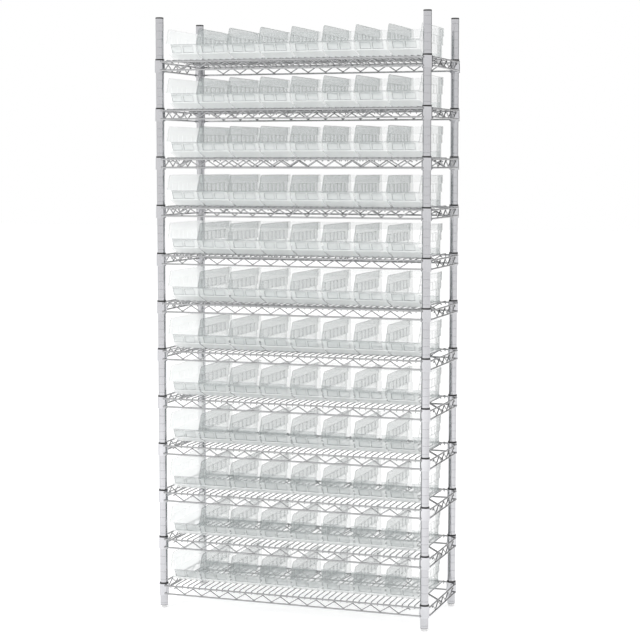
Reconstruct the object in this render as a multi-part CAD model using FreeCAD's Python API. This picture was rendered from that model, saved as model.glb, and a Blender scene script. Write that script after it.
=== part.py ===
import FreeCAD, Part
import math
import os

V = FreeCAD.Vector

# All sizes are in millimetres. X runs along the width, -Y is the front, Z is up.
# The origin is on the floor, midway between the four posts.

# Posts
post_spacing_x = 874.0
post_spacing_y = 322.0
post_radius = 12.7
post_wall = 1.5
post_above_top_shelf = 127.6
groove_pitch = 25.4
groove_depth = 0.5
groove_width = 1.8
groove_slope = 0.4

# Shelf levels: a level is the height of the middle of the sleeve band that shows above a collar
shelf_count = 12
grooves_per_shelf = 6
first_level = 81.5
ridge_below_level = 13.1

# Split sleeves that grip the posts and carry the collars
sleeve_clearance = 0.05
sleeve_above_level = 2.3
sleeve_below_level = 34.0
sleeve_top_wall = 1.5
sleeve_taper = 0.5
sleeve_taper_length = 20.0
sleeve_split_deg = 2.0
ridge_height = 1.2
ridge_clearance = 0.1

# Shelf collars
collar_below_level = 2.3
collar_height = 37.7
collar_wall = 1.3
collar_clearance = 0.05
collar_rim = 0.4

# Shelf wires
rail_radius = 2.8
zigzag_radius = 1.9
mat_radius = 1.8
weld_bite = 0.2
top_rail_below_level = 7.25
bottom_rail_below_level = 33.2
front_rail_inset = 2.2
side_rail_inset = 0.2
rail_end_margin = 0.15
mat_pitch = 19.94
mat_end_drop = 11.2
mat_bend_radius = 4.0
mat_side_clearance = 2.0
zigzag_pitch = 59.82
zigzag_bend_radius = 5.0
zigzag_stub = 9.0
support_bend_from_post = 32.0
support_bend_radius = 9.0

# Bins
bin_width = 102.5
bin_length = 277.0
bin_height = 97.0
bin_wall = 2.0
bin_side_gap = 1.2
bin_end_clearance = 2.0
bin_setback = 15.8
bin_lift = 0.3
band_height = 26.0
rib_zone_height = 26.0
rib_zone_step = 1.6
body_step = 2.6
body_draft = 1.0
front_rim_height = 3.0
front_rim_reach = 3.0
front_height = 48.0
front_panel_bottom = 19.5
front_panel_lean = 13.0
front_slope_length = 50.0
side_front_slant = 21.0
hanging_lip_reach = 7.0
hanging_lip_height = 24.0
hanging_lip_wall = 2.0
hanging_lip_chamfer = 2.0
label_width = 34.5
label_height = 23.0
label_gap = 5.0
label_depth = 0.7

# Feet, inserts and caps
foot_across_flats = 17.4
foot_height = 8.7
foot_chamfer = 0.8
foot_gap = 0.3
stud_radius = 4.2
stud_length = 30.0
stud_clearance = 0.3
insert_flange = 1.2
insert_length = 36.0
insert_clearance = 0.05
insert_edge = 0.1
cap_rim_height = 4.5
cap_plug_length = 14.0
cap_plug_wall = 1.6
cap_chamfer = 0.9

# Shelves whose bins each slide by themselves; the bins of any other shelf share one node
single_bin_shelves = (6, 7, 8)

# The sleeves of this many neighbouring shelves share one node
shelves_per_sleeve_set = 3

# Values worked out from the sizes above
half_x = post_spacing_x / 2
half_y = post_spacing_y / 2
shelf_spacing = grooves_per_shelf * groove_pitch
top_level = first_level + (shelf_count - 1) * shelf_spacing
post_bottom = foot_height + foot_gap + insert_flange
post_top = top_level + post_above_top_shelf
first_groove = first_level - ridge_below_level
sleeve_top_radius = post_radius + sleeve_top_wall
collar_top_radius = sleeve_top_radius + sleeve_clearance + collar_clearance
collar_radius = collar_top_radius + sleeve_taper + collar_wall
taper_below_level = collar_below_level + collar_height - sleeve_taper_length
front_rail_y = half_y + collar_radius - front_rail_inset
side_rail_x = half_x + collar_radius - side_rail_inset
mat_below_level = top_rail_below_level - rail_radius - mat_radius
mat_top_below_level = mat_below_level - mat_radius
bin_pitch = bin_width + bin_side_gap
bin_front_y = -front_rail_y - rail_radius + bin_setback
row_room = post_spacing_x - 2 * (collar_radius + bin_end_clearance) + bin_side_gap
bins_per_shelf = int(row_room // bin_pitch)

corners = {
    "front_left": (-half_x, -half_y),
    "front_right": (half_x, -half_y),
    "rear_left": (-half_x, half_y),
    "rear_right": (half_x, half_y),
}


def level(shelf):
    return first_level + (shelf - 1) * shelf_spacing


def revolved(points, angle=360.0, start=0.0):
    """A solid turned about Z from (radius, height) corners."""
    corners_3d = [V(r, 0, z) for r, z in points]
    face = Part.Face(Part.makePolygon(corners_3d + corners_3d[:1]))
    solid = face.revolve(V(0, 0, 0), V(0, 0, 1), angle)
    solid.rotate(V(0, 0, 0), V(0, 0, 1), start)
    return solid


def prism(points, width):
    """A solid from (y, z) corners, spread evenly to both sides along X."""
    corners_3d = [V(-width / 2, y, z) for y, z in points]
    face = Part.Face(Part.makePolygon(corners_3d + corners_3d[:1]))
    return face.extrude(V(width, 0, 0))


def rod(start, end, radius):
    return Part.makeCylinder(radius, (end - start).Length, start, end - start)


def bent_wire(points, bend_radius, radius):
    """A round wire along the points, with an arc of one radius at each bend."""
    edges = []
    last = points[0]
    for before, corner, after in zip(points, points[1:], points[2:]):
        back = (before - corner).normalize()
        ahead = (after - corner).normalize()
        half_turn = (math.pi - back.getAngle(ahead)) / 2
        reach = bend_radius * math.tan(half_turn)
        inward = (back + ahead).normalize()
        middle = corner + inward * (bend_radius / math.cos(half_turn) - bend_radius)
        start = corner + back * reach
        end = corner + ahead * reach
        edges.append(Part.LineSegment(last, start).toShape())
        edges.append(Part.Arc(start, middle, end).toShape())
        last = end
    edges.append(Part.LineSegment(last, points[-1]).toShape())
    path = Part.Wire(edges)
    ring = Part.Wire(Part.makeCircle(radius, points[0], points[1] - points[0]))
    return path.makePipeShell([ring], True, False)


def export(solids, node):
    shape = solids[0] if len(solids) == 1 else Part.makeCompound(solids)
    shape.exportStep(f"parts/{node}.step")


# Posts: hollow tubes with a ring groove every inch

def groove_heights():
    """Every groove that lies a full groove clear of the post's ends."""
    below = int((first_groove - post_bottom - groove_width) // groove_pitch)
    above = int((post_top - groove_width - first_groove) // groove_pitch)
    return [first_groove + i * groove_pitch for i in range(-below, above + 1)]


def post():
    outline = [(post_radius - post_wall, post_bottom), (post_radius, post_bottom)]
    for z in groove_heights():
        outline.append((post_radius, z - groove_width / 2))
        outline.append((post_radius - groove_depth, z - groove_width / 2 + groove_slope))
        outline.append((post_radius - groove_depth, z + groove_width / 2 - groove_slope))
        outline.append((post_radius, z + groove_width / 2))
    outline.append((post_radius, post_top))
    outline.append((post_radius - post_wall, post_top))
    return revolved(outline)


def cap():
    """A thin disc as wide as the post, on a hollow plug that grips the inside of the tube."""
    plug = post_radius - post_wall - insert_clearance
    low = post_top - cap_plug_length
    top = post_top + cap_rim_height
    return revolved([
        (plug - cap_plug_wall, low),
        (plug, low),
        (plug, post_top),
        (post_radius, post_top),
        (post_radius, top - cap_chamfer),
        (post_radius - cap_chamfer, top),
        (0, top),
        (0, post_top),
        (plug - cap_plug_wall, post_top),
    ])


def insert():
    """A bush pressed into the foot of the tube, with the hole that the foot's stud turns in."""
    body = post_radius - post_wall - insert_clearance
    bore = stud_radius + stud_clearance
    low = foot_height + foot_gap
    top = post_bottom + insert_length
    return revolved([
        (bore, low),
        (post_radius - insert_edge, low),
        (post_radius - insert_edge, post_bottom),
        (body, post_bottom),
        (body, top),
        (bore, top),
    ])


def foot():
    """A hexagon that stands on the floor, with its stud up inside the insert."""
    corner_radius = foot_across_flats / math.sqrt(3)
    turns = [math.radians(60 * i) for i in range(6)]
    points = [V(corner_radius * math.cos(a), corner_radius * math.sin(a), 0) for a in turns]
    hexagon = Part.Face(Part.makePolygon(points + points[:1])).extrude(V(0, 0, foot_height))
    turned = revolved([
        (0, 0),
        (corner_radius - foot_chamfer, 0),
        (corner_radius, foot_chamfer),
        (corner_radius, foot_height - foot_chamfer),
        (corner_radius - foot_chamfer, foot_height),
        (0, foot_height),
    ])
    stud = Part.makeCylinder(stud_radius, stud_length, V(0, 0, foot_height))
    return hexagon.common(turned).fuse(stud).removeSplitter().Solids[0]


# Sleeves: two halves clip round the post, and their ridge sits in a groove

def sleeve_half(start):
    """Straight at the top and wider towards its foot, so that the collar wedges on it."""
    bore = post_radius + sleeve_clearance
    ridge = post_radius - groove_depth + ridge_clearance
    tapered = sleeve_below_level - taper_below_level
    foot_radius = sleeve_top_radius + sleeve_taper * tapered / sleeve_taper_length
    outline = [
        (bore, -sleeve_below_level),
        (foot_radius, -sleeve_below_level),
        (sleeve_top_radius, -taper_below_level),
        (sleeve_top_radius, sleeve_above_level),
        (bore, sleeve_above_level),
        (bore, -ridge_below_level + ridge_height / 2),
        (ridge, -ridge_below_level + ridge_height / 4),
        (ridge, -ridge_below_level - ridge_height / 4),
        (bore, -ridge_below_level - ridge_height / 2),
    ]
    return revolved(outline, 180 - sleeve_split_deg, start + sleeve_split_deg / 2)


# Shelf: mat wires on four trusses, welded to a collar at each corner

def collar():
    """A tube that widens to its foot as its sleeve does, with a small bevel on both outer rims."""
    top = -collar_below_level
    low = top - collar_height
    top_outer = collar_top_radius + collar_wall
    return revolved([
        (collar_radius - collar_wall, low),
        (collar_radius - collar_rim, low),
        (collar_radius, low + collar_rim),
        (top_outer, top - collar_rim),
        (top_outer - collar_rim, top),
        (collar_top_radius, top),
        (collar_top_radius, -taper_below_level),
    ])


def zigzag_points(room):
    """Corners of the zigzag as (along, height), with a short stub past each end apex."""
    upper = -top_rail_below_level - rail_radius - zigzag_radius + weld_bite
    lower = -bottom_rail_below_level + rail_radius + zigzag_radius - weld_bite
    slope = math.atan2(upper - lower, zigzag_pitch / 2)
    rounding = zigzag_bend_radius * (1 / math.cos(slope) - 1)
    count = int((2 * (room - zigzag_stub)) // zigzag_pitch) + 1
    first = -(count - 1) * zigzag_pitch / 2
    stub_run = zigzag_stub * math.cos(slope)
    stub_drop = zigzag_stub * math.sin(slope)
    points = [(first - stub_run, upper + rounding - stub_drop)]
    for i in range(2 * count - 1):
        height = upper + rounding if i % 2 == 0 else lower - rounding
        points.append((first + i * zigzag_pitch / 2, height))
    points.append((-first + stub_run, upper + rounding - stub_drop))
    return points


def rail_end(inset):
    """How far from a post's axis a rail stops, so that it bites the collar's wall and clears its bore."""
    inner_edge = collar_radius - inset - rail_radius
    bore = collar_radius - collar_wall
    return math.sqrt(max(bore ** 2 - inner_edge ** 2, 0.0)) + rail_end_margin


def front_truss(side):
    """Two rails and a zigzag across the front (side -1) or the rear (side 1)."""
    y = side * front_rail_y
    reach = half_x - rail_end(front_rail_inset)
    rails = [
        rod(V(-reach, y, -depth), V(reach, y, -depth), rail_radius)
        for depth in (top_rail_below_level, bottom_rail_below_level)
    ]
    points = [V(x, y, z) for x, z in zigzag_points(half_x - collar_radius)]
    return rails + [bent_wire(points, zigzag_bend_radius, zigzag_radius)]


def side_truss(side):
    """Two rails and a zigzag down the left side (-1) or the right side (1)."""
    x = side * side_rail_x
    reach = half_y - rail_end(side_rail_inset)
    rails = [
        rod(V(x, -reach, -depth), V(x, reach, -depth), rail_radius)
        for depth in (top_rail_below_level, bottom_rail_below_level)
    ]
    points = [V(x, y, z) for y, z in zigzag_points(half_y - collar_radius)]
    return rails + [bent_wire(points, zigzag_bend_radius, zigzag_radius)]


def mat_wires():
    """Front to back wires whose ends turn down behind the rails."""
    reach = front_rail_y - rail_radius - mat_radius + weld_bite
    room = half_x - collar_radius - mat_radius - mat_side_clearance
    pairs = int(room / mat_pitch + 0.5)
    points = [
        V(0, -reach, -mat_below_level - mat_end_drop),
        V(0, -reach, -mat_below_level),
        V(0, reach, -mat_below_level),
        V(0, reach, -mat_below_level - mat_end_drop),
    ]
    wire = bent_wire(points, mat_bend_radius, mat_radius)
    return [wire.translated(V((i + 0.5) * mat_pitch, 0, 0)) for i in range(-pairs, pairs)]


def support_rod():
    """The rod under the middle of the mat, bent down at both ends to the lower side rails."""
    depth = mat_below_level + mat_radius + rail_radius - weld_bite
    bend_x = half_x - support_bend_from_post
    end_x = side_rail_x - rail_radius
    end_depth = bottom_rail_below_level - rail_radius
    points = [
        V(-end_x, 0, -end_depth),
        V(-bend_x, 0, -depth),
        V(bend_x, 0, -depth),
        V(end_x, 0, -end_depth),
    ]
    return bent_wire(points, support_bend_radius, rail_radius)


def shelf_solids():
    """One shelf about level 0."""
    solids = mat_wires() + [support_rod()]
    for side in (-1, 1):
        solids += front_truss(side) + side_truss(side)
    ring = collar()
    solids += [ring.translated(V(x, y, 0)) for x, y in corners.values()]
    return solids


# Bins: open hopper front, three stepped zones and a hanging lip at the rear

def bin_zones(inset):
    """(y, z) outlines and widths of the bin's stacked zones, with walls and ledges drawn in by the inset."""
    front = bin_front_y
    rear = front + bin_length - hanging_lip_reach
    band_low = bin_height - band_height
    rib_low = band_low - rib_zone_height
    panel_top = front + front_rim_reach
    panel_foot = panel_top + front_panel_lean
    rib_rear = rear - rib_zone_step
    body_rear = rib_rear - body_step
    lean = front_panel_lean / (rib_low - front_panel_bottom)
    foot_slope = front_slope_length / front_panel_bottom
    slant = side_front_slant / (bin_height - front_height)
    slope_shift = inset * (math.hypot(foot_slope, 1) - foot_slope)
    body = [
        (panel_foot + front_slope_length + slope_shift, inset),
        (panel_foot + inset, front_panel_bottom + inset * lean),
        (panel_top + inset, rib_low + inset),
        (body_rear - inset, rib_low + inset),
        (body_rear - body_draft - inset, inset),
    ]
    ribbed_rear = [
        (rib_rear - inset, band_low + inset),
        (rib_rear - inset, rib_low + inset),
    ]
    band = [
        (front + slant * (band_low - front_height) + inset, band_low + inset),
        (front + side_front_slant + inset, bin_height),
        (rear - inset, bin_height),
        (rear - inset, band_low + inset),
    ]
    outer_front = [
        (panel_top, rib_low),
        (front, front_height - front_rim_height),
        (front, front_height),
        (front + slant * (band_low - front_height), band_low),
    ]
    inner_front = [
        (panel_top + inset, rib_low + inset),
        (panel_top + inset, band_low + inset),
    ]
    ribbed = (inner_front if inset else outer_front) + ribbed_rear
    rib_width = bin_width - 2 * rib_zone_step
    return (
        (body, rib_width - 2 * body_step - 2 * inset),
        (ribbed, rib_width - 2 * inset),
        (band, bin_width - 2 * inset),
    )


def hanging_lip():
    """A flange that runs back from the rim and turns down, to hook over a rail."""
    rear = bin_front_y + bin_length
    root = rear - hanging_lip_reach - bin_wall
    outline = [
        (root, bin_height),
        (rear - hanging_lip_chamfer, bin_height),
        (rear, bin_height - hanging_lip_chamfer),
        (rear, bin_height - hanging_lip_height),
        (rear - hanging_lip_wall, bin_height - hanging_lip_height),
        (rear - hanging_lip_wall, bin_height - hanging_lip_wall),
        (root, bin_height - hanging_lip_wall),
    ]
    return prism(outline, bin_width)


def label_recesses():
    """Two shallow windows in the leaning front panel, side by side."""
    rib_low = bin_height - band_height - rib_zone_height
    panel_foot = bin_front_y + front_rim_reach + front_panel_lean
    lean_angle = math.degrees(math.atan2(front_panel_lean, rib_low - front_panel_bottom))
    up_panel = math.hypot(front_panel_lean, rib_low - front_panel_bottom)
    margin = (up_panel - label_height) / 2
    recesses = []
    for side in (-1, 1):
        x = side * (label_gap + label_width) / 2 - label_width / 2
        box = Part.makeBox(label_width, 2 * label_depth, label_height, V(x, -label_depth, margin))
        box.rotate(V(0, 0, 0), V(1, 0, 0), lean_angle)
        box.translate(V(0, panel_foot, front_panel_bottom))
        recesses.append(box)
    return recesses


def bin_solid():
    """One bin, centred on X, with its base at height 0."""
    outer = [prism(points, width) for points, width in bin_zones(0.0)]
    inner = [prism(points, width) for points, width in bin_zones(bin_wall)]
    open_front = [
        (bin_front_y - front_rim_reach, front_height),
        (bin_front_y - front_rim_reach, bin_height + bin_wall),
        (bin_front_y + bin_length / 2, bin_height + bin_wall),
        (bin_front_y + bin_length / 2, front_height),
    ]
    rib_width = bin_width - 2 * rib_zone_step
    inner.append(prism(open_front, rib_width - 2 * bin_wall))
    shell = outer[0].fuse(outer[1:]).fuse(hanging_lip())
    return shell.cut(inner + label_recesses()).removeSplitter().Solids[0]


# Build everything

def main():
    os.makedirs("parts", exist_ok=True)
    one_post = post()
    one_foot = foot()
    for name, (x, y) in corners.items():
        at = V(x, y, 0)
        export([one_post.translated(at)], f"post_{name}")
        export([one_foot.translated(at)], f"foot_{name}")
    export([cap().translated(V(x, y, 0)) for x, y in corners.values()], "post_caps")
    export([insert().translated(V(x, y, 0)) for x, y in corners.values()], "post_inserts")

    halves = [sleeve_half(start) for start in (0, 180)]
    for lowest in range(1, shelf_count + 1, shelves_per_sleeve_set):
        highest = min(lowest + shelves_per_sleeve_set - 1, shelf_count)
        around = [
            half.translated(V(x, y, level(shelf)))
            for shelf in range(lowest, highest + 1)
            for x, y in corners.values()
            for half in halves
        ]
        export(around, f"sleeves_{lowest:02d}_to_{highest:02d}")

    wires = shelf_solids()
    one_bin = bin_solid()
    first_bin_x = -(bins_per_shelf - 1) * bin_pitch / 2
    for shelf in range(1, shelf_count + 1):
        z = level(shelf)
        export([solid.translated(V(0, 0, z)) for solid in wires], f"shelf_{shelf:02d}")
        base = z - mat_top_below_level + bin_lift
        row = [
            one_bin.translated(V(first_bin_x + i * bin_pitch, 0, base))
            for i in range(bins_per_shelf)
        ]
        if shelf in single_bin_shelves:
            for i, solid in enumerate(row, 1):
                export([solid], f"bin_{shelf:02d}_{i}")
        else:
            export(row, f"bin_row_{shelf:02d}")


main()
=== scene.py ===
"""Wire bin shelving: chromed posts, twelve welded wire shelves and ninety-six clear open-front bins."""

import math
from collections import namedtuple

import bpy
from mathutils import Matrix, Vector


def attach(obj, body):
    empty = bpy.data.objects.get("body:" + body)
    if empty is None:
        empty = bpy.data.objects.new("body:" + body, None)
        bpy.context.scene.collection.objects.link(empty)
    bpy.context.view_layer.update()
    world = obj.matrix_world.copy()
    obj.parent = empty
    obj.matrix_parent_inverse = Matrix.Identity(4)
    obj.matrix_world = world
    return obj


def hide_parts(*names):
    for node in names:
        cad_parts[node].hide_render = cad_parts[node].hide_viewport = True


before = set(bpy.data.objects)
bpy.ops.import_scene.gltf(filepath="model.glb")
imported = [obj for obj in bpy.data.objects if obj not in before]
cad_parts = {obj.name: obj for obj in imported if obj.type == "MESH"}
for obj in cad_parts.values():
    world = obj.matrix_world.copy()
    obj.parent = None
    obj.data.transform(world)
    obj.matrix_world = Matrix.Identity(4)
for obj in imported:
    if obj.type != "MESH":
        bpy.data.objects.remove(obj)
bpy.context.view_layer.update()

scene = bpy.context.scene

# All sizes are in metres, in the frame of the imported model. -Y is the front, Z is up.

# Posts and shelf levels
POST_X = 0.437
POST_Y = 0.161
SHELF_COUNT = 12
FIRST_LEVEL = 0.0815
LEVEL_STEP = 0.1524

# Collars: radii, and heights from a shelf's level
COLLAR_TOP = -0.0023
COLLAR_LOW = -0.0400
COLLAR_TAPER_FROM = -0.0200
COLLAR_BORE_TOP = 0.0143
COLLAR_BORE_LOW = 0.0148
COLLAR_WALL = 0.0013
COLLAR_RIM = 0.0004

# Shelf wires: radii, reaches from the middle, and heights from a shelf's level
RAIL_RADIUS = 0.0028
ZIGZAG_RADIUS = 0.0019
MAT_RADIUS = 0.0018
WELD_BITE = 0.0002
UPPER_RAIL = -0.00725
LOWER_RAIL = -0.0332
FRONT_RAIL_Y = 0.1749
SIDE_RAIL_X = 0.4529
FRONT_RAIL_REACH = 0.4290
SIDE_RAIL_REACH = 0.1535
MAT_HEIGHT = -0.00265
MAT_PITCH = 0.01994
MAT_PAIRS = 21
MAT_REACH = 0.1705
MAT_END_DROP = 0.0112
MAT_BEND = 0.004
ZIGZAG_PITCH = 0.05982
ZIGZAG_BEND = 0.005
ZIGZAG_STUB = 0.009
ZIGZAG_POST_GAP = 0.0161
SUPPORT_BEND_X = 0.405
SUPPORT_END_X = 0.4501
SUPPORT_BEND = 0.009

# Sides of the wires' sections
RAIL_SIDES = 14
WIRE_SIDES = 12

# Weld beads: half sizes along X, Y and Z, and where the rails' beads sit at a collar
ZIGZAG_WELD = Vector((0.0034, 0.0019, 0.0009))
MAT_END_WELD = Vector((0.0014, 0.0009, 0.0020))
SUPPORT_WELD = Vector((0.0017, 0.0022, 0.0007))
FRONT_RAIL_WELD = Vector((0.0032, 0.0026, 0.0034))
SIDE_RAIL_WELD = Vector((0.0022, 0.0032, 0.0034))
FRONT_WELD_X = POST_X - 0.0093
FRONT_WELD_Y = FRONT_RAIL_Y - 0.0009
SIDE_WELD_X = SIDE_RAIL_X - 0.0022
SIDE_WELD_Y = POST_Y - 0.0085

# Bins on a shelf
BIN_PITCH = 0.1037
BINS_PER_SHELF = 8
BIN_BASE = -0.00055
BIN_WALL = 0.002
SINGLE_BIN_SHELVES = (6, 7, 8)


def shelf_level(shelf):
    return FIRST_LEVEL + (shelf - 1) * LEVEL_STEP


def bin_x(number):
    return (number - (BINS_PER_SHELF + 1) / 2) * BIN_PITCH


# Materials

BUMP_DEPTH = 0.001
SCUFF_FROM = 0.58
SCUFF_FULL = 0.74


def socket(group, name, way, default=None):
    """A number socket of a node group."""
    made = group.interface.new_socket(name=name, in_out=way, socket_type="NodeSocketFloat")
    if default is not None:
        made.default_value = default


def surface_grain_group():
    """Slow clouds, fine grain and thin scuffs that change over the surface."""
    group = bpy.data.node_groups.new("surface_grain", "ShaderNodeTree")
    socket(group, "Cloud Scale", "INPUT", 12.0)
    socket(group, "Grain Scale", "INPUT", 400.0)
    socket(group, "Clouds", "OUTPUT")
    socket(group, "Grain", "OUTPUT")
    socket(group, "Scuffs", "OUTPUT")
    nodes, link = group.nodes, group.links.new
    inputs = nodes.new("NodeGroupInput")
    outputs = nodes.new("NodeGroupOutput")
    position = nodes.new("ShaderNodeTexCoord")
    clouds = nodes.new("ShaderNodeTexNoise")
    clouds.inputs["Detail"].default_value = 3.0
    grain = nodes.new("ShaderNodeTexNoise")
    grain.inputs["Detail"].default_value = 2.0
    scuffs = nodes.new("ShaderNodeTexNoise")
    scuffs.inputs["Detail"].default_value = 5.0
    scuffs.inputs["Distortion"].default_value = 1.5
    thin = nodes.new("ShaderNodeMapRange")
    thin.inputs["From Min"].default_value = SCUFF_FROM
    thin.inputs["From Max"].default_value = SCUFF_FULL
    for noise, scale in ((clouds, "Cloud Scale"), (grain, "Grain Scale"), (scuffs, "Cloud Scale")):
        link(position.outputs["Object"], noise.inputs["Vector"])
        link(inputs.outputs[scale], noise.inputs["Scale"])
    link(clouds.outputs["Fac"], outputs.inputs["Clouds"])
    link(grain.outputs["Fac"], outputs.inputs["Grain"])
    link(scuffs.outputs["Fac"], thin.inputs["Value"])
    link(thin.outputs["Result"], outputs.inputs["Scuffs"])
    return group


SURFACE_GRAIN = surface_grain_group()


def grey(value, tint=(1.0, 1.0, 1.0)):
    return (value * tint[0], value * tint[1], value * tint[2], 1.0)


def mix_colours(nodes, link, factor, first, second):
    """A colour mix whose two colours are sockets or plain colours."""
    mix = nodes.new("ShaderNodeMix")
    mix.data_type = "RGBA"
    link(factor, mix.inputs["Factor"])
    for name, value in (("A", first), ("B", second)):
        target = [s for s in mix.inputs if s.name == name and s.type == "RGBA"][0]
        if isinstance(value, tuple):
            target.default_value = value
        else:
            link(value, target)
    return [s for s in mix.outputs if s.type == "RGBA"][0]


def finish(name, light, dark, roughness, cloud_scale, grain_scale, bump,
           metallic=0.0, alpha=1.0, ior=1.5, scuff=None, glow=0.0):
    """A material whose colour drifts from light to dark, with uneven gloss and a fine bump."""
    material = bpy.data.materials.new(name)
    material.use_nodes = True
    nodes, link = material.node_tree.nodes, material.node_tree.links.new
    shader = nodes["Principled BSDF"]
    grain = nodes.new("ShaderNodeGroup")
    grain.node_tree = SURFACE_GRAIN
    grain.inputs["Cloud Scale"].default_value = cloud_scale
    grain.inputs["Grain Scale"].default_value = grain_scale
    colour = mix_colours(nodes, link, grain.outputs["Clouds"], light, dark)
    if scuff:
        colour = mix_colours(nodes, link, grain.outputs["Scuffs"], colour, scuff)
    link(colour, shader.inputs["Base Color"])
    gloss = nodes.new("ShaderNodeMapRange")
    gloss.inputs["To Min"].default_value = roughness[0]
    gloss.inputs["To Max"].default_value = roughness[1]
    link(grain.outputs["Clouds"], gloss.inputs["Value"])
    link(gloss.outputs["Result"], shader.inputs["Roughness"])
    relief = nodes.new("ShaderNodeBump")
    relief.inputs["Strength"].default_value = bump
    relief.inputs["Distance"].default_value = BUMP_DEPTH
    link(grain.outputs["Grain"], relief.inputs["Height"])
    link(relief.outputs["Normal"], shader.inputs["Normal"])
    shader.inputs["Metallic"].default_value = metallic
    shader.inputs["Alpha"].default_value = alpha
    shader.inputs["IOR"].default_value = ior
    # The glow is painted light: the surface gives off its own colour, though it is no lamp.
    if glow:
        link(colour, shader.inputs["Emission Color"])
        shader.inputs["Emission Strength"].default_value = glow
    return material


CHROME_TINT = (0.965, 0.965, 1.0)
WIRE_TINT = (0.98, 0.985, 1.0)


def chrome(name, light, dark, tint, **surface):
    """Bright plated steel, light and dark being greys that the tint cools."""
    return finish(name, grey(light, tint), grey(dark, tint), metallic=1.0, **surface)


# The clear plastic's tint, which fades in its paler parts
CLEAR_TINT = (0.915, 1.0, 0.99)
TINT_FADE = 2.0
TINT_GONE = 1.03

# How each part of a bin looks: its light and dark greys, the alpha of one face, and its glow. The glow is
# painted light: the plastic gives off its own colour in place of light that shines through it.
# A wall is two faces, and the walls of two neighbours stand side by side.
CLEAR_LOOKS = {
    "band": (0.63, 0.57, 0.178, 0.0),
    "ribbed": (0.57, 0.51, 0.198, 0.0),
    # rib is painted darker: painted shade along the ribs' crests.
    "rib": (0.36, 0.30, 0.26, 0.0),
    # The bright strip behind each rib is a painted highlight.
    "gleam": (0.95, 0.92, 0.16, 0.0),
    "body": (0.60, 0.54, 0.12, 0.0),
    "foot_wall": (0.70, 0.64, 0.09, 0.0),
    "cheek": (0.63, 0.57, 0.18, 0.0),
    "cheek_foot": (0.60, 0.54, 0.18, 0.0),
    # ledge is painted darker: painted shade in lines at the steps and folds of the walls.
    "ledge": (0.34, 0.28, 0.27, 0.0),
    "front": (0.88, 0.84, 0.34, 0.05),
    # foot_front is painted lighter, with glow as painted light, to lift the shade on its downward-facing
    # slope.
    "foot_front": (0.94, 0.90, 0.52, 0.15),
    "label": (0.80, 0.75, 0.38, 0.04),
    # line and rim are painted darker: painted shade along the label frames, the rim and the open edge.
    "line": (0.24, 0.19, 0.42, 0.0),
    "rim": (0.42, 0.36, 0.30, 0.0),
    # corner is painted darker: painted shade at the rounded rear corners.
    "corner": (0.52, 0.46, 0.18, 0.0),
    "back": (0.72, 0.66, 0.06, 0.0),
    # back_foot and base get a little glow: painted light that lifts the shade low in the bin.
    "back_foot": (0.80, 0.74, 0.34, 0.03),
    "base": (0.82, 0.76, 0.34, 0.03),
    # left_wall and left_rib are painted near white, with strong glow as painted light on the outer left wall.
    "left_wall": (0.98, 0.95, 0.42, 0.24),
    "left_rib": (0.95, 0.92, 0.44, 0.22),
    "right_wall": (0.86, 0.80, 0.10, 0.03),
    "right_rear": (0.46, 0.40, 0.30, 0.0),
}
CLEAR_PARTS = list(CLEAR_LOOKS)


def plastic(value):
    """A grey of the clear plastic."""
    share = min(1.0, (TINT_GONE - value) * TINT_FADE)
    return grey(value, [1.0 - (1.0 - channel) * share for channel in CLEAR_TINT])


def clear_plastic(part, light, dark, alpha, glow):
    return finish(
        "clear_bin_" + part, plastic(light), plastic(dark), roughness=(0.08, 0.22),
        cloud_scale=16.0, grain_scale=260.0, bump=0.04, alpha=alpha, ior=1.49, glow=glow,
    )


def make_materials():
    return {
        "clear": {part: clear_plastic(part, *look) for part, look in CLEAR_LOOKS.items()},
        "post": chrome(
            "post_chrome", 0.60, 0.53, CHROME_TINT, roughness=(0.16, 0.26),
            cloud_scale=9.0, grain_scale=900.0, bump=0.03,
        ),
        "wire": chrome(
            "truss_chrome", 0.50, 0.40, WIRE_TINT, roughness=(0.14, 0.28),
            cloud_scale=30.0, grain_scale=1200.0, bump=0.04,
        ),
        "mat": chrome(
            "mat_chrome", 0.46, 0.36, WIRE_TINT, roughness=(0.18, 0.32),
            cloud_scale=30.0, grain_scale=1200.0, bump=0.04,
        ),
        "collar": chrome(
            "collar_chrome", 0.67, 0.58, CHROME_TINT, roughness=(0.13, 0.22),
            cloud_scale=24.0, grain_scale=900.0, bump=0.05,
        ),
        # Weld beads are painted dark: painted shade at the joints where the wires meet.
        "weld": finish(
            "weld_metal", grey(0.26), grey(0.16), roughness=(0.35, 0.5),
            cloud_scale=60.0, grain_scale=900.0, bump=0.12, metallic=1.0,
        ),
        "sleeve": finish(
            "sleeve_black", grey(0.018), grey(0.011), roughness=(0.4, 0.58),
            cloud_scale=40.0, grain_scale=1500.0, bump=0.15, scuff=grey(0.035),
        ),
        "cap": finish(
            "cap_black", grey(0.055), grey(0.035), roughness=(0.38, 0.55),
            cloud_scale=40.0, grain_scale=1500.0, bump=0.18, scuff=grey(0.08),
        ),
        "insert": finish(
            "insert_dark", grey(0.05), grey(0.035), roughness=(0.45, 0.6),
            cloud_scale=40.0, grain_scale=1200.0, bump=0.15,
        ),
        "foot": finish(
            "foot_zinc", grey(0.80), grey(0.66), roughness=(0.25, 0.42),
            cloud_scale=45.0, grain_scale=1100.0, bump=0.1, metallic=1.0, scuff=grey(0.5),
        ),
    }


MATERIALS = make_materials()


# Mesh tools

SHARP_DEG = 38.0
BIN_SHARP_DEG = 30.0
WELD_SLOT = 1

# The rounded end of a wire: distance from its tip and radius there, as shares of the wire's radius
WIRE_TIP = ((0.0, 0.5), (0.1, 0.85), (0.35, 1.0))


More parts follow.
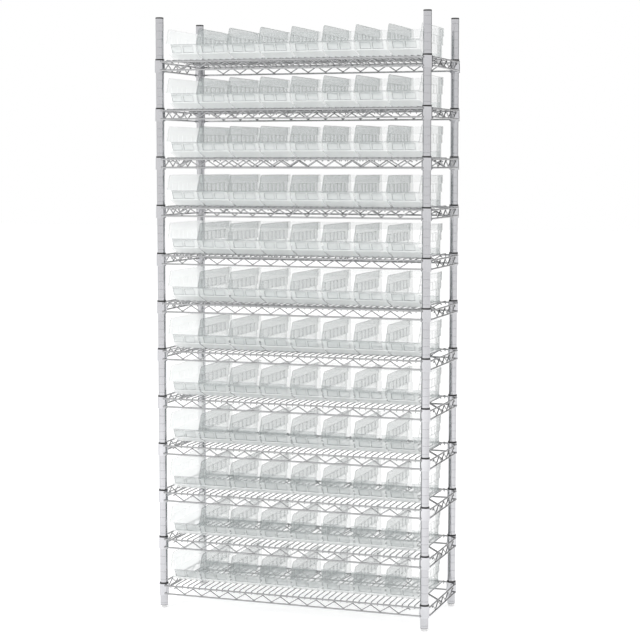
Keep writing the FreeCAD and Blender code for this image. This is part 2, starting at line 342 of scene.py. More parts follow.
class Build:
    """Corners and faces of one mesh, each face with the number of its material."""

    def __init__(self):
        self.points = []
        self.faces = []
        self.slots = []

    def add(self, points, faces, slots=None):
        first = len(self.points)
        self.points.extend(points)
        self.faces.extend([tuple(first + i for i in face) for face in faces])
        self.slots.extend(slots or [0] * len(faces))

    def mesh(self, name, materials, sharp_deg=SHARP_DEG):
        mesh = bpy.data.meshes.new(name)
        mesh.from_pydata([tuple(p) for p in self.points], [], self.faces)
        for material in materials:
            mesh.materials.append(material)
        mesh.polygons.foreach_set("material_index", self.slots)
        mesh.validate()
        mesh.shade_smooth()
        mesh.set_sharp_from_angle(angle=math.radians(sharp_deg))
        mesh.update()
        return mesh


def bent_path(corners, bend, steps=5):
    """The line along the corners, with an arc of one radius at each."""
    path = [corners[0]]
    for before, corner, after in zip(corners, corners[1:], corners[2:]):
        back = (before - corner).normalized()
        ahead = (after - corner).normalized()
        half_turn = (math.pi - back.angle(ahead)) / 2
        reach = bend * math.tan(half_turn)
        centre = corner + (back + ahead).normalized() * (bend / math.cos(half_turn))
        start = (corner + back * reach - centre).normalized()
        end = (corner + ahead * reach - centre).normalized()
        path.extend(centre + start.slerp(end, i / steps) * bend for i in range(steps + 1))
    path.append(corners[-1])
    return path


def wire_rings(path, radius, rounded):
    """The wire's sections as (middle, direction, one side, radius)."""
    ahead = (path[1] - path[0]).normalized()
    up = Vector((0, 0, 1)) if abs(ahead.z) < 0.9 else Vector((0, 1, 0))
    side = ahead.cross(up).normalized()
    rings = []
    for i, point in enumerate(path):
        before = path[max(i - 1, 0)]
        after = path[min(i + 1, len(path) - 1)]
        tangent = (after - before).normalized()
        side = (side - tangent * side.dot(tangent)).normalized()
        rings.append((point, tangent, side, radius))
    if not rounded:
        return rings
    point, tangent, side, _ = rings[0]
    start = [(point + tangent * radius * inset, tangent, side, radius * share) for inset, share in WIRE_TIP]
    point, tangent, side, _ = rings[-1]
    end = [(point - tangent * radius * inset, tangent, side, radius * share) for inset, share in WIRE_TIP]
    return start + rings[1:-1] + end[::-1]


def add_wire(build, path, radius, sides, rounded=True):
    """A round wire along the path, with softly rounded or plain ends."""
    rings = wire_rings(path, radius, rounded)
    points = []
    for point, tangent, side, size in rings:
        other = tangent.cross(side)
        for k in range(sides):
            turn = 2 * math.pi * k / sides
            points.append(point + side * (size * math.cos(turn)) + other * (size * math.sin(turn)))
    faces = []
    for i in range(len(rings) - 1):
        for k in range(sides):
            a, b = i * sides + k, i * sides + (k + 1) % sides
            faces.append((a, b, b + sides, a + sides))
    last = (len(rings) - 1) * sides
    faces.append(tuple(reversed(range(sides))))
    faces.append(tuple(range(last, last + sides)))
    build.add(points, faces)


def add_weld(build, centre, size):
    """A small melted bead where two wires meet."""
    around, rows = 8, 4
    points = [centre + Vector((0, 0, -size.z))]
    for row in range(1, rows):
        tilt = math.pi * row / rows
        for k in range(around):
            turn = 2 * math.pi * k / around
            points.append(centre + Vector((
                size.x * math.sin(tilt) * math.cos(turn),
                size.y * math.sin(tilt) * math.sin(turn),
                -size.z * math.cos(tilt),
            )))
    points.append(centre + Vector((0, 0, size.z)))
    top = len(points) - 1
    faces = []
    for k in range(around):
        after = (k + 1) % around
        faces.append((0, 1 + after, 1 + k))
        for row in range(rows - 2):
            low = 1 + row * around
            faces.append((low + k, low + after, low + around + after, low + around + k))
        high = 1 + (rows - 2) * around
        faces.append((high + k, high + after, top))
    build.add(points, faces, [WELD_SLOT] * len(faces))


def add_turned(build, outline, centre, sides=48):
    """A ring turned about a vertical axis from a closed outline of (radius, height)."""
    count = len(outline)
    points = []
    for k in range(sides):
        turn = 2 * math.pi * k / sides
        for radius, height in outline:
            points.append(centre + Vector((radius * math.cos(turn), radius * math.sin(turn), height)))
    faces = []
    for k in range(sides):
        here, there = k * count, ((k + 1) % sides) * count
        for i in range(count):
            j = (i + 1) % count
            faces.append((here + i, there + i, there + j, here + j))
    build.add(points, faces)


def place(name, mesh, body, replaced, at, shades=True):
    """A piece at its place, on its body, in the stead of a CAD node."""
    piece = bpy.data.objects.new(name, mesh)
    scene.collection.objects.link(piece)
    piece.location = at
    piece.visible_shadow = shades
    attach(piece, body)
    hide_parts(replaced)
    return piece


# Shelves


def zigzag_corners(room):
    """Corners of a zigzag wire as (along, height), with a short stub at each end."""
    upper = UPPER_RAIL - RAIL_RADIUS - ZIGZAG_RADIUS + WELD_BITE
    lower = LOWER_RAIL + RAIL_RADIUS + ZIGZAG_RADIUS - WELD_BITE
    slope = math.atan2(upper - lower, ZIGZAG_PITCH / 2)
    rounding = ZIGZAG_BEND * (1 / math.cos(slope) - 1)
    count = int((2 * (room - ZIGZAG_STUB)) // ZIGZAG_PITCH) + 1
    first = -(count - 1) * ZIGZAG_PITCH / 2
    stub_run = ZIGZAG_STUB * math.cos(slope)
    stub_drop = ZIGZAG_STUB * math.sin(slope)
    corners = [(first - stub_run, upper + rounding - stub_drop)]
    for i in range(2 * count - 1):
        height = upper + rounding if i % 2 == 0 else lower - rounding
        corners.append((first + i * ZIGZAG_PITCH / 2, height))
    corners.append((-first + stub_run, upper + rounding - stub_drop))
    return corners


def truss(build, side, along_x):
    """Two rails, the zigzag between them and the welds at its peaks, on one side of the shelf."""
    def at(along, height):
        if along_x:
            return Vector((along, side * FRONT_RAIL_Y, height))
        return Vector((side * SIDE_RAIL_X, along, height))

    reach = FRONT_RAIL_REACH if along_x else SIDE_RAIL_REACH
    room = (POST_X if along_x else POST_Y) - ZIGZAG_POST_GAP
    for height in (UPPER_RAIL, LOWER_RAIL):
        add_wire(build, [at(-reach, height), at(reach, height)], RAIL_RADIUS, RAIL_SIDES, rounded=False)
    corners = zigzag_corners(room)
    path = bent_path([at(along, height) for along, height in corners], ZIGZAG_BEND)
    add_wire(build, path, ZIGZAG_RADIUS, WIRE_SIDES)
    for i, (along, _) in enumerate(corners[1:-1]):
        rail = UPPER_RAIL - RAIL_RADIUS if i % 2 == 0 else LOWER_RAIL + RAIL_RADIUS
        add_weld(build, at(along, rail), ZIGZAG_WELD if along_x else ZIGZAG_WELD.yxz)


def truss_mesh():
    build = Build()
    for side in (-1, 1):
        truss(build, side, True)
        truss(build, side, False)
    return build.mesh("shelf_trusses", [MATERIALS["wire"], MATERIALS["weld"]])


def mat_mesh():
    """The front to back wires with turned-down ends, and the support rod under their middle."""
    build = Build()
    rail_side = FRONT_RAIL_Y - RAIL_RADIUS
    support = MAT_HEIGHT - MAT_RADIUS - RAIL_RADIUS + WELD_BITE
    for i in range(-MAT_PAIRS, MAT_PAIRS):
        x = (i + 0.5) * MAT_PITCH
        corners = [
            Vector((x, -MAT_REACH, MAT_HEIGHT - MAT_END_DROP)),
            Vector((x, -MAT_REACH, MAT_HEIGHT)),
            Vector((x, MAT_REACH, MAT_HEIGHT)),
            Vector((x, MAT_REACH, MAT_HEIGHT - MAT_END_DROP)),
        ]
        add_wire(build, bent_path(corners, MAT_BEND), MAT_RADIUS, WIRE_SIDES)
        for side in (-1, 1):
            add_weld(build, Vector((x, side * rail_side, UPPER_RAIL)), MAT_END_WELD)
        if abs(x) < SUPPORT_BEND_X - SUPPORT_BEND:
            add_weld(build, Vector((x, 0, MAT_HEIGHT - MAT_RADIUS)), SUPPORT_WELD)
    rod = [
        Vector((-SUPPORT_END_X, 0, LOWER_RAIL + RAIL_RADIUS)),
        Vector((-SUPPORT_BEND_X, 0, support)),
        Vector((SUPPORT_BEND_X, 0, support)),
        Vector((SUPPORT_END_X, 0, LOWER_RAIL + RAIL_RADIUS)),
    ]
    add_wire(build, bent_path(rod, SUPPORT_BEND), RAIL_RADIUS, RAIL_SIDES)
    return build.mesh("shelf_mat", [MATERIALS["mat"], MATERIALS["weld"]])


def collar_mesh():
    """Four collars that widen to their foot, each with the welds of the rails that end in it."""
    build = Build()
    top_outer = COLLAR_BORE_TOP + COLLAR_WALL
    low_outer = COLLAR_BORE_LOW + COLLAR_WALL
    outline = [
        (COLLAR_BORE_LOW, COLLAR_LOW),
        (low_outer - COLLAR_RIM, COLLAR_LOW),
        (low_outer, COLLAR_LOW + COLLAR_RIM),
        (top_outer, COLLAR_TOP - COLLAR_RIM),
        (top_outer - COLLAR_RIM, COLLAR_TOP),
        (COLLAR_BORE_TOP, COLLAR_TOP),
        (COLLAR_BORE_TOP, COLLAR_TAPER_FROM),
    ]
    for side_x in (-1, 1):
        for side_y in (-1, 1):
            add_turned(build, outline, Vector((side_x * POST_X, side_y * POST_Y, 0)))
            for height in (UPPER_RAIL, LOWER_RAIL):
                front_end = Vector((side_x * FRONT_WELD_X, side_y * FRONT_WELD_Y, height))
                add_weld(build, front_end, FRONT_RAIL_WELD)
                side_end = Vector((side_x * SIDE_WELD_X, side_y * SIDE_WELD_Y, height))
                add_weld(build, side_end, SIDE_RAIL_WELD)
    return build.mesh("shelf_collars", [MATERIALS["collar"], MATERIALS["weld"]])


def make_shelves():
    meshes = {"mat": mat_mesh(), "trusses": truss_mesh(), "collars": collar_mesh()}
    for shelf in range(1, SHELF_COUNT + 1):
        node = f"shelf_{shelf:02d}"
        for part, mesh in meshes.items():
            place(f"{node}_{part}", mesh, node, node, (0, 0, shelf_level(shelf)))


# Bins

# Fronts and rears along Y
FRONT_Y = -0.1619
PANEL_TOP_Y = -0.1589
PANEL_FOOT_Y = -0.1459
SLOPE_FOOT_Y = -0.0959
RIBBED_REAR_Y = 0.1065
BAND_REAR_Y = 0.1081

# Half widths of the three zones
BAND_HALF = 0.05125
RIBBED_HALF = 0.04965
BODY_HALF = 0.04705

# Heights from the base
PANEL_LOW = 0.0195
LABEL_LOW = 0.0212
LABEL_TOP = 0.0426
PANEL_TOP = 0.0450
RIB_ZONE_LOW = 0.0453
RIB_ZONE_TOP = 0.0710
BAND_LOW = 0.0713
RIM_LOW = 0.0957
BIN_TOP = 0.0970

# Ribs up the side walls, each painted darker along its crest as painted shade, with a bright strip behind it
# that is a painted highlight. The ribs up the rear are given for its right half, by their middles and by
# steps of (distance from the middle, share of the rise).
RIB_PROUD = 0.0012
RIB_PLACES = (-0.128, -0.079, -0.045, -0.009, 0.027, 0.063)
RIB_HALF = 0.0040
RIB_FLANK = 0.0010
PAINTED_GLEAM_WIDTH = 0.0060
SQUEEZE_MARGIN = 0.0020
BACK_RIB_PLACES = (0.024, 0.0)
BACK_RIB_STEPS = ((0.0032, 0.0), (0.0020, 1.0), (-0.0020, 1.0), (-0.0032, 0.0))

# Places along the side walls where the look changes, and the start given to all faces behind them
FRONT_BORDER = 0.0025
CHEEK_END_Y = -0.0975
CHEEK_LINE_Y = -0.0885
END_FADE_Y = 0.045
REAR_START = 1.0

# Rear corners
CORNER_RADIUS = 0.008
CORNER_STEPS = 5

# Two label windows in the front panel
LABEL_INNER_X = 0.0025
LABEL_OUTER_X = 0.0370
LABEL_DEPTH = 0.0007
LABEL_EDGE = 0.0016

# Hanging lip: the rounding at its top is steps forward and down from its rear edge
LIP_ROOT_Y = 0.1063
LIP_REAR_Y = 0.1151
LIP_LOW = 0.0730
LIP_ROUNDING = ((0.0055, 0.0), (0.0027, 0.0007), (0.0007, 0.0027), (0.0, 0.0055))
LIP_INNER_BEND = 0.0025
LIP_FOOT_CHAMFER = 0.0006
LIP_INNER_CHAMFER = 0.0004
LIP_END_TRIM = 0.0012


def panel_y(height):
    """Where the leaning front panel is at a height, to a hundredth of a millimetre."""
    share = (height - PANEL_LOW) / (PANEL_TOP - PANEL_LOW)
    return round(PANEL_FOOT_Y + share * (PANEL_TOP_Y - PANEL_FOOT_Y), 5)


Row = namedtuple("Row", "height half rear front ribbed")

# Rows up a bin's wall: height, half width, rear, front, and whether ribs stand proud there
BIN_ROWS = [Row(*sizes) for sizes in (
    (0.0000, 0.0456, 0.1014, SLOPE_FOOT_Y, False),
    (0.0006, 0.0466, 0.1024, -0.0974, False),
    (0.0018, BODY_HALF, 0.1029, -0.1005, False),
    (PANEL_LOW, BODY_HALF, 0.1034, panel_y(PANEL_LOW), False),
    (LABEL_LOW, BODY_HALF, 0.1034, panel_y(LABEL_LOW), False),
    (LABEL_LOW + LABEL_EDGE, BODY_HALF, 0.1034, panel_y(LABEL_LOW + LABEL_EDGE), False),
    (LABEL_TOP - LABEL_EDGE, BODY_HALF, 0.1038, panel_y(LABEL_TOP - LABEL_EDGE), False),
    (LABEL_TOP, BODY_HALF, 0.1039, panel_y(LABEL_TOP), False),
    (PANEL_TOP, BODY_HALF, 0.1039, panel_y(PANEL_TOP), False),
    (PANEL_TOP, 0.0493, 0.1061, -0.1615, False),
    (RIB_ZONE_LOW, RIBBED_HALF, RIBBED_REAR_Y, FRONT_Y, True),
    (0.0480, RIBBED_HALF, RIBBED_REAR_Y, FRONT_Y, True),
    (0.0688, RIBBED_HALF, RIBBED_REAR_Y, -0.15299, True),
    (RIB_ZONE_TOP, RIBBED_HALF, RIBBED_REAR_Y, -0.15204, True),
    (RIB_ZONE_TOP, 0.0509, 0.1077, -0.15204, False),
    (BAND_LOW, BAND_HALF, BAND_REAR_Y, -0.1519, False),
    (0.0890, BAND_HALF, BAND_REAR_Y, -0.14433, False),
    (0.0930, BAND_HALF, BAND_REAR_Y, -0.1418, False),
    (RIM_LOW, BAND_HALF, BAND_REAR_Y, -0.1388, False),
    (BIN_TOP, BAND_HALF, BAND_REAR_Y, -0.1340, False),
)]

# Numbers of rows, where a strip has the number of the row below it
FRONT_ROWS = 12
LABEL_ROWS = (5, 6)
PANEL_STRIPS = (4, 5, 6)
WINDOW_STRIP = 5
FRONT_RIM_STRIP = 8
# These strips take the ledge look: dark lines of painted shade at the steps of the walls.
LINE_STRIPS = (7, 12)

# Numbers of the front sheet's columns, counted from the left
EDGE_COLUMNS = (1, 3, 5, 7)
WINDOW_COLUMNS = (2, 6)
MIDDLE_COLUMN = 4


def wall_columns():
    """Places along a side wall from front to rear: y, 1 on a rib's crest, and the strip that starts there."""
    breaks = [
        (CHEEK_END_Y, 0.0, "cheek_line"),
        (CHEEK_LINE_Y, 0.0, "wall"),
        (END_FADE_Y, 0.0, "wall"),
    ]
    for middle in RIB_PLACES:
        breaks.append((middle - RIB_HALF, 0.0, "flank"))
        breaks.append((middle - RIB_HALF + RIB_FLANK, 1.0, "crest"))
        breaks.append((middle + RIB_HALF - RIB_FLANK, 1.0, "flank"))
        # The strip behind each rib is a painted highlight.
        breaks.append((middle + RIB_HALF, 0.0, "gleam"))
        breaks.append((middle + RIB_HALF + PAINTED_GLEAM_WIDTH, 0.0, "wall"))
    return [(FRONT_Y, 0.0, "edge"), (FRONT_Y + FRONT_BORDER, 0.0, "wall")] + sorted(breaks)


WALL_COLUMNS = wall_columns()


def half_outline(row):
    """One side of a row as (x, y), from the front to the middle of the rear.

    Where the row's front comes near the first rib, the columns before the cheek line close up.
    """
    points = []
    proud = RIB_PROUD if row.ribbed else 0.0
    border = row.front + FRONT_BORDER
    squeezed = border > RIB_PLACES[0] - RIB_HALF - SQUEEZE_MARGIN
    slack = (CHEEK_LINE_Y - border) / (CHEEK_LINE_Y - FRONT_Y - FRONT_BORDER)
    for column_y, crest, _ in WALL_COLUMNS:
        y = column_y
        if squeezed and column_y < CHEEK_LINE_Y:
            y = CHEEK_LINE_Y - (CHEEK_LINE_Y - column_y) * slack
        if column_y == FRONT_Y:
            y = row.front
        elif column_y == FRONT_Y + FRONT_BORDER:
            y = border
        points.append((row.half + proud * crest, y))
    for i in range(CORNER_STEPS + 1):
        turn = math.pi / 2 * i / CORNER_STEPS
        points.append((
            row.half - CORNER_RADIUS + CORNER_RADIUS * math.cos(turn),
            row.rear - CORNER_RADIUS + CORNER_RADIUS * math.sin(turn),
        ))
    for middle in BACK_RIB_PLACES:
        for offset, crest in BACK_RIB_STEPS:
            if middle + offset > 0:
                points.append((middle + offset, row.rear + proud * crest))
    return points


def wall_part(number, start, strip):
    """What a face of a side wall is, from its strip up the wall and its column's start and name."""
    low, high = BIN_ROWS[number].height, BIN_ROWS[number + 1].height
    # Ledges, the line strips and the cheek line take the ledge look, and rims the rim look: painted shade at
    # folds and edges.
    if low == high or number in LINE_STRIPS:
        return "ledge"
    if low >= RIM_LOW or (strip == "edge" and low >= RIB_ZONE_LOW):
        return "rim"
    if low >= BAND_LOW:
        return "band"
    if low >= RIB_ZONE_LOW:
        # Rib crests take the rib look, which is painted shade, and the strip behind each rib is a painted
        # highlight.
        return {"crest": "rib", "gleam": "gleam"}.get(strip, "ribbed")
    if strip == "cheek_line":
        return "ledge"
    if start < CHEEK_END_Y:
        return "cheek_foot" if high <= PANEL_LOW else "cheek"
    return "foot_wall" if high <= PANEL_LOW else "body"


def rear_part(number):
    """What a face of the rear wall is, from its strip up the wall."""
    return "back_foot" if BIN_ROWS[number + 1].height <= PANEL_LOW else "back"


def front_part(number, column):
    """What a face of the front sheet is, from its strip up the sheet and its column."""
    if number >= FRONT_RIM_STRIP:
        return "rim"
    if number in PANEL_STRIPS:
        # Edge columns and window frames take the line look: painted shade along the label frames.
        if column in EDGE_COLUMNS or (column in WINDOW_COLUMNS and number != WINDOW_STRIP):
            return "line"
        if column in WINDOW_COLUMNS or column == MIDDLE_COLUMN:
            return "label"
    return "foot_front" if number < PANEL_STRIPS[0] else "front"


def wall_faces(rows, faces, parts):
    """Both side walls and the rear."""
    count = len(rows[0])
    side_count = len(WALL_COLUMNS)
    for number in range(len(rows) - 1):
        line, above = rows[number], rows[number + 1]
        for c in range(count - 1):
            faces.append((line[c], line[c + 1], above[c + 1], above[c]))
            side = -1 if c < count // 2 else 1
            near = c if side < 0 else count - 2 - c
            if near < side_count - 1:
                start, _, strip = WALL_COLUMNS[near]
                parts.append((wall_part(number, start, strip), side, start))
            elif near < side_count + CORNER_STEPS - 1:
                parts.append(("corner", side, REAR_START))
            else:
                parts.append((rear_part(number), side, REAR_START))


def front_faces(rows, points, faces, parts):
    """The front sheet with its two label windows, up to the top of its rim; returns its lowest corners."""
    across = [-LABEL_OUTER_X, -LABEL_OUTER_X + LABEL_EDGE, -LABEL_INNER_X - LABEL_EDGE, -LABEL_INNER_X]
    across = across + [-x for x in reversed(across)]
    inward = Vector((0, PANEL_TOP - PANEL_LOW, PANEL_FOOT_Y - PANEL_TOP_Y)).normalized()
    lines = []
    for number in range(FRONT_ROWS):
        line = [rows[number][0]]
        for x in across:
            point = Vector((x, BIN_ROWS[number].front, BIN_ROWS[number].height))
            in_window = LABEL_INNER_X + LABEL_EDGE / 2 < abs(x) < LABEL_OUTER_X - LABEL_EDGE / 2
            if number in LABEL_ROWS and in_window:
                point += inward * LABEL_DEPTH
            line.append(len(points))
            points.append(point)
        line.append(rows[number][-1])
        lines.append(line)
    last = len(across)
    for number in range(FRONT_ROWS - 1):
        line, above = lines[number], lines[number + 1]
        for c in range(last + 1):
            faces.append((line[c + 1], line[c], above[c], above[c + 1]))
            side = {0: -1, last: 1}.get(c, 0)
            parts.append((front_part(number, c), side, FRONT_Y))
    return lines[0]


def base_faces(base, front_line, faces, parts):
    """The base: strips between the two sides, then one face up to the rear."""
    count = len(base)
    strips = len(WALL_COLUMNS) + CORNER_STEPS
    for c in range(strips - 1):
        front = front_line if c == 0 else [base[c], base[count - 1 - c]]
        faces.append(tuple([base[c + 1]] + front + [base[count - 2 - c]]))
    faces.append(tuple(base[c] for c in range(count - strips, strips - 2, -1)))
    parts.extend([("base", 0, 0.0)] * strips)


def bin_surface():
    """The outer skin of one bin: corners, faces, and each face's part, side and start along Y."""
    points, faces, parts = [], [], []
    rows = []
    for row in BIN_ROWS:
        half = half_outline(row)
        whole = [(-x, y) for x, y in half] + [(x, y) for x, y in reversed(half)]
        first = len(points)
        points.extend(Vector((x, y, row.height)) for x, y in whole)
        rows.append(list(range(first, first + len(whole))))
    wall_faces(rows, faces, parts)
    front_line = front_faces(rows, points, faces, parts)
    base_faces(rows[0], front_line, faces, parts)
    return points, faces, parts


SIDE_PARTS = ("band", "ribbed", "gleam", "body", "foot_wall")
CHEEK_PARTS = ("cheek", "cheek_foot")


def shown_part(face, end):
    """The look of a face; the two outer walls of a row have no neighbour and looks of their own.

    The left one is painted near white, with glow as painted light, and the right one is clear up to its rear.
    """
    part, side, start = face
    if end == "left" and side < 0:
        if part in SIDE_PARTS + CHEEK_PARTS + ("corner", "front", "foot_front"):
            return "left_wall"
        if part in ("rib", "line", "ledge", "rim"):
            return "left_rib"
    if end == "right" and side > 0:
        if part in SIDE_PARTS + ("corner",) and start >= END_FADE_Y:
            return "right_rear"
        if part in SIDE_PARTS + CHEEK_PARTS:
            return "right_wall"
    return part


def thick_skin():
    """One bin's skin with its wall thickness, and what each face is.

    Solidify keeps the outer faces first, then gives the inner ones, then those along the open edge.
    """
    points, faces, parts = bin_surface()
    mesh = bpy.data.meshes.new("bin_skin")
    mesh.from_pydata([tuple(p) for p in points], [], faces)
    mesh.update()
    holder = bpy.data.objects.new("bin_skin", mesh)
    scene.collection.objects.link(holder)
    wall = holder.modifiers.new("wall", "SOLIDIFY")
    wall.thickness = BIN_WALL
    wall.offset = -1.0
    wall.use_even_offset = True
    wall.use_quality_normals = True
    evaluated = holder.evaluated_get(bpy.context.evaluated_depsgraph_get())
    solid = bpy.data.meshes.new_from_object(evaluated)
    bpy.data.objects.remove(holder)
    all_points = [v.co.copy() for v in solid.vertices]
    all_faces = [tuple(p.vertices) for p in solid.polygons]
    edge_count = len(all_faces) - 2 * len(parts)
    bpy.data.meshes.remove(solid)
    bpy.data.meshes.remove(mesh)
    # The faces along the open edge take the rim look: painted shade.
    return all_points, all_faces, parts + parts + [("rim", 0, 0.0)] * edge_count


def lip_surface():
    """The flange behind the rim that hooks down over the rear rail, with its two ends as last faces."""
    inner_y = LIP_REAR_Y - BIN_WALL
    inner_top = BIN_TOP - BIN_WALL
    outline = [(LIP_ROOT_Y, BIN_TOP)]
    outline += [(LIP_REAR_Y - forward, BIN_TOP - down) for forward, down in LIP_ROUNDING]
    outline += [
        (LIP_REAR_Y, LIP_LOW + LIP_FOOT_CHAMFER),
        (LIP_REAR_Y - LIP_FOOT_CHAMFER, LIP_LOW),
        (inner_y + LIP_INNER_CHAMFER, LIP_LOW),
        (inner_y, LIP_LOW + LIP_INNER_CHAMFER),
        (inner_y, inner_top - LIP_INNER_BEND),
        (inner_y - LIP_INNER_BEND, inner_top),
        (LIP_ROOT_Y, inner_top),
    ]
    sections = [
        (-BAND_HALF, LIP_END_TRIM),
        (-BAND_HALF + LIP_END_TRIM, 0.0),
        (BAND_HALF - LIP_END_TRIM, 0.0),
        (BAND_HALF, LIP_END_TRIM),
    ]
    points = []
    for x, trim in sections:
        for y, z in outline:
            points.append(Vector((x, min(y, LIP_REAR_Y - trim), max(z, LIP_LOW + trim))))
    count = len(outline)
    last = (len(sections) - 1) * count
    faces = []
    for here in range(0, last, count):
        for i in range(count):
            j = (i + 1) % count
            faces.append((here + i, here + count + i, here + count + j, here + j))
    faces.append(tuple(range(count)))
    faces.append(tuple(reversed(range(last, last + count))))
    return points, faces


def add_bin(build, skin, at, end):
    """One bin: its thick skin, and its lip with the lip's two ends as rims."""
    points, faces, parts = skin
    slots = [CLEAR_PARTS.index(shown_part(face, end)) for face in parts]
    build.add([p + at for p in points], faces, slots)
    points, faces = lip_surface()
    # The lip's two ends take the rim look: painted shade at its edges.
    back, rim = CLEAR_PARTS.index("back"), CLEAR_PARTS.index("rim")
    build.add([p + at for p in points], faces, [back] * (len(faces) - 2) + [rim] * 2)


def end_of(number):
    return {1: "left", BINS_PER_SHELF: "right"}.get(number, "middle")


def make_bins():
    skin = thick_skin()
    clear = list(MATERIALS["clear"].values())
    row = Build()
    for i in range(1, BINS_PER_SHELF + 1):
        add_bin(row, skin, Vector((bin_x(i), 0, 0)), end_of(i))
    row_mesh = row.mesh("bins_of_one_shelf", clear, BIN_SHARP_DEG)
    single = {}
    for end in ("left", "middle", "right"):
        build = Build()
        add_bin(build, skin, Vector((0, 0, 0)), end)
        single[end] = build.mesh("bin_" + end, clear, BIN_SHARP_DEG)
    for shelf in range(1, SHELF_COUNT + 1):
        base = shelf_level(shelf) + BIN_BASE
        if shelf in SINGLE_BIN_SHELVES:
            for i in range(1, BINS_PER_SHELF + 1):
                node = f"bin_{shelf:02d}_{i}"
                at = (bin_x(i), 0, base)
                place(f"clear_{node}", single[end_of(i)], node, node, at, False)
        else:
            node = f"bin_row_{shelf:02d}"
            place(f"clear_{node}", row_mesh, node, node, (0, 0, base), False)


# CAD pieces that stay

# How a node's name begins and its finish, where the first that fits counts
CAD_FINISHES = (
    ("post_caps", "cap"),
    ("post_inserts", "insert"),
    ("post_", "post"),
    ("sleeves_", "sleeve"),
    ("foot_", "foot"),
)


def dress_cad_nodes():
    for name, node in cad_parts.items():
        fitting = [look for beginning, look in CAD_FINISHES if name.startswith(beginning)]
        if fitting:
            for material_slot in node.material_slots:
                material_slot.material = MATERIALS[fitting[0]]


# Studio

# Paper floor
FLOOR_HALF = 30.0
FLOOR_STEPS = 12
PAPER_COLOUR = (0.86, 0.86, 0.86, 1.0)
PAPER_GLOW = 0.50

# World: its level as a light, and what chrome mirrors of it. A dark strip behind the object has a
# turn right of +Y, a half width and a soft edge in radians, and the sky greys to its upper right.
WORLD_LEVEL = 0.72
DARK_STRIP_TURN = 0.47
DARK_STRIP_HALF = 0.24
DARK_STRIP_EDGE = 0.12
DARK_STRIP_LEVEL = 0.02
GREY_SKY_X = (-0.05, 0.35)
GREY_SKY_Z = (0.15, 0.50)
GREY_SKY_LEVEL = 0.14

# Sockets of a Mix node that mixes numbers
MIX_FACTOR, MIX_FIRST, MIX_SECOND = 0, 2, 3

# Camera at the photograph's place: angles in degrees, lens and sensor in millimetres
CAMERA_PLACE = (1.847, -5.199, 1.440)
CAMERA_DOWN_DEG = 5.24
CAMERA_TURN_DEG = 19.15
CAMERA_LENS = 97.4
CAMERA_SENSOR = 36.0

LAMP_TARGET = (0.0, 0.0, 0.95)

# Clear faces that a ray may pass, as along a whole row of bins
CLEAR_FACES_PASSED = 96


def paper_material():
    """White paper that keeps a soft shadow, brighter to the camera and in mirrors."""
    material = bpy.data.materials.new("studio_paper")
    material.use_nodes = True
    nodes, link = material.node_tree.nodes, material.node_tree.links.new
    shader = nodes["Principled BSDF"]
    shader.inputs["Base Color"].default_value = PAPER_COLOUR
    shader.inputs["Roughness"].default_value = 0.9
    shader.inputs["Specular IOR Level"].default_value = 0.1
    glow = nodes.new("ShaderNodeEmission")
    path = nodes.new("ShaderNodeLightPath")
    seen = nodes.new("ShaderNodeMath")
    seen.operation = "MAXIMUM"
    strength = nodes.new("ShaderNodeMath")
    strength.operation = "MULTIPLY"
    strength.inputs[1].default_value = PAPER_GLOW
    both = nodes.new("ShaderNodeAddShader")
    link(path.outputs["Is Camera Ray"], seen.inputs[0])
    link(path.outputs["Is Glossy Ray"], seen.inputs[1])
    link(seen.outputs["Value"], strength.inputs[0])
    link(strength.outputs["Value"], glow.inputs["Strength"])
    link(shader.outputs["BSDF"], both.inputs[0])
    link(glow.outputs["Emission"], both.inputs[1])
    link(both.outputs["Shader"], nodes["Material Output"].inputs["Surface"])
    return material


def white_floor():
    """A wide flat floor."""
    build = Build()
    places = [-FLOOR_HALF + 2 * FLOOR_HALF * i / FLOOR_STEPS for i in range(FLOOR_STEPS + 1)]
    across = FLOOR_STEPS + 1
    faces = []
    for j in range(FLOOR_STEPS):
        for i in range(FLOOR_STEPS):
            a = j * across + i
            faces.append((a, a + 1, a + across + 1, a + across))
    build.add([Vector((x, y, 0.0)) for y in places for x in places], faces)
    floor = bpy.data.objects.new("studio_floor", build.mesh("studio_floor", [paper_material()]))
    scene.collection.objects.link(floor)


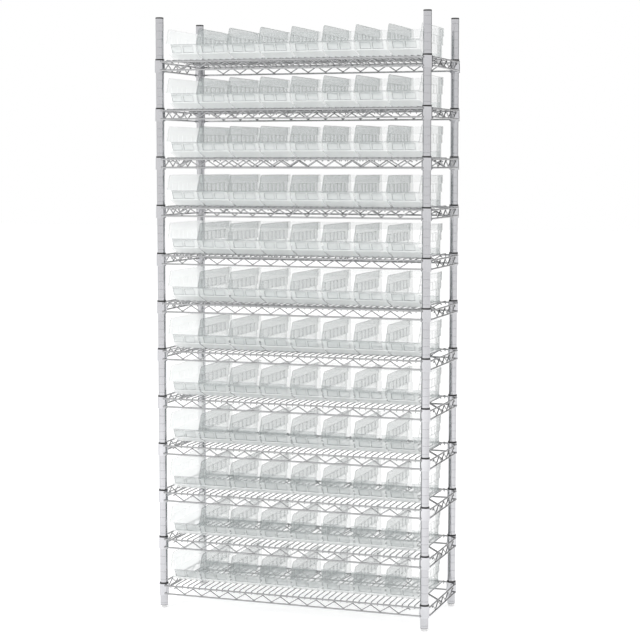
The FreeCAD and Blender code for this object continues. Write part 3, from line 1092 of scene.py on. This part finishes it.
def white_world():
    """White behind the object for the camera, gentler as a light, and partly dark to chrome."""
    world = bpy.data.worlds.new("studio_world")
    scene.world = world
    world.use_nodes = True
    nodes, link = world.node_tree.nodes, world.node_tree.links.new
    background = nodes["Background"]
    background.inputs["Color"].default_value = (1.0, 1.0, 1.0, 1.0)
    path = nodes.new("ShaderNodeLightPath")
    direction = nodes.new("ShaderNodeTexCoord")
    parts = nodes.new("ShaderNodeSeparateXYZ")
    link(direction.outputs["Generated"], parts.inputs["Vector"])

    def faded(source, start, end, low, high):
        fade = nodes.new("ShaderNodeMapRange")
        fade.interpolation_type = "SMOOTHSTEP"
        fade.inputs["From Min"].default_value = start
        fade.inputs["From Max"].default_value = end
        fade.inputs["To Min"].default_value = low
        fade.inputs["To Max"].default_value = high
        link(source, fade.inputs["Value"])
        return fade.outputs["Result"]

    def worked(operation, first, second=None):
        step = nodes.new("ShaderNodeMath")
        step.operation = operation
        link(first, step.inputs[0])
        if isinstance(second, float):
            step.inputs[1].default_value = second
        elif second:
            link(second, step.inputs[1])
        return step.outputs["Value"]

    turn = worked("ARCTAN2", parts.outputs["X"], parts.outputs["Y"])
    from_strip = worked("ABSOLUTE", worked("SUBTRACT", turn, DARK_STRIP_TURN))
    strip_end = DARK_STRIP_HALF + DARK_STRIP_EDGE
    strip = faded(from_strip, DARK_STRIP_HALF, strip_end, DARK_STRIP_LEVEL, 1.0)
    to_right = faded(parts.outputs["X"], *GREY_SKY_X, 0.0, 1.0)
    corner = worked("MULTIPLY", to_right, faded(parts.outputs["Z"], *GREY_SKY_Z, 0.0, 1.0))
    mirrored = worked("MULTIPLY", strip, faded(corner, 0.0, 1.0, 1.0, GREY_SKY_LEVEL))
    white = worked("MAXIMUM", path.outputs["Is Camera Ray"], path.outputs["Is Transmission Ray"])
    level = nodes.new("ShaderNodeMapRange")
    level.inputs["To Min"].default_value = WORLD_LEVEL
    level.inputs["To Max"].default_value = 1.0
    link(white, level.inputs["Value"])
    by_ray = nodes.new("ShaderNodeMix")
    link(path.outputs["Is Glossy Ray"], by_ray.inputs[MIX_FACTOR])
    link(level.outputs["Result"], by_ray.inputs[MIX_FIRST])
    link(mirrored, by_ray.inputs[MIX_SECOND])
    link(by_ray.outputs[0], background.inputs["Strength"])


def soft_lamp(name, location, size, power):
    """A square lamp turned to the middle of the object."""
    data = bpy.data.lights.new(name, "AREA")
    data.shape = "RECTANGLE"
    data.size = size
    data.size_y = size
    data.energy = power
    lamp = bpy.data.objects.new(name, data)
    scene.collection.objects.link(lamp)
    lamp.location = location
    lamp.visible_glossy = False
    aim = Vector(LAMP_TARGET) - Vector(location)
    lamp.rotation_euler = aim.to_track_quat("-Z", "Y").to_euler()


def photo_camera():
    data = bpy.data.cameras.new("photo_camera")
    data.lens = CAMERA_LENS
    data.sensor_width = CAMERA_SENSOR
    camera = bpy.data.objects.new("photo_camera", data)
    scene.collection.objects.link(camera)
    camera.location = CAMERA_PLACE
    camera.rotation_euler = (math.radians(90 - CAMERA_DOWN_DEG), 0.0, math.radians(CAMERA_TURN_DEG))
    scene.camera = camera


def make_studio():
    white_floor()
    white_world()
    soft_lamp("key_lamp", location=(-2.6, -5.0, 3.6), size=2.6, power=150.0)
    soft_lamp("fill_lamp", location=(4.2, -4.2, 2.4), size=2.4, power=45.0)
    photo_camera()
    scene.view_settings.view_transform = "Standard"
    scene.cycles.transparent_max_bounces = CLEAR_FACES_PASSED


make_shelves()
make_bins()
dress_cad_nodes()
make_studio()
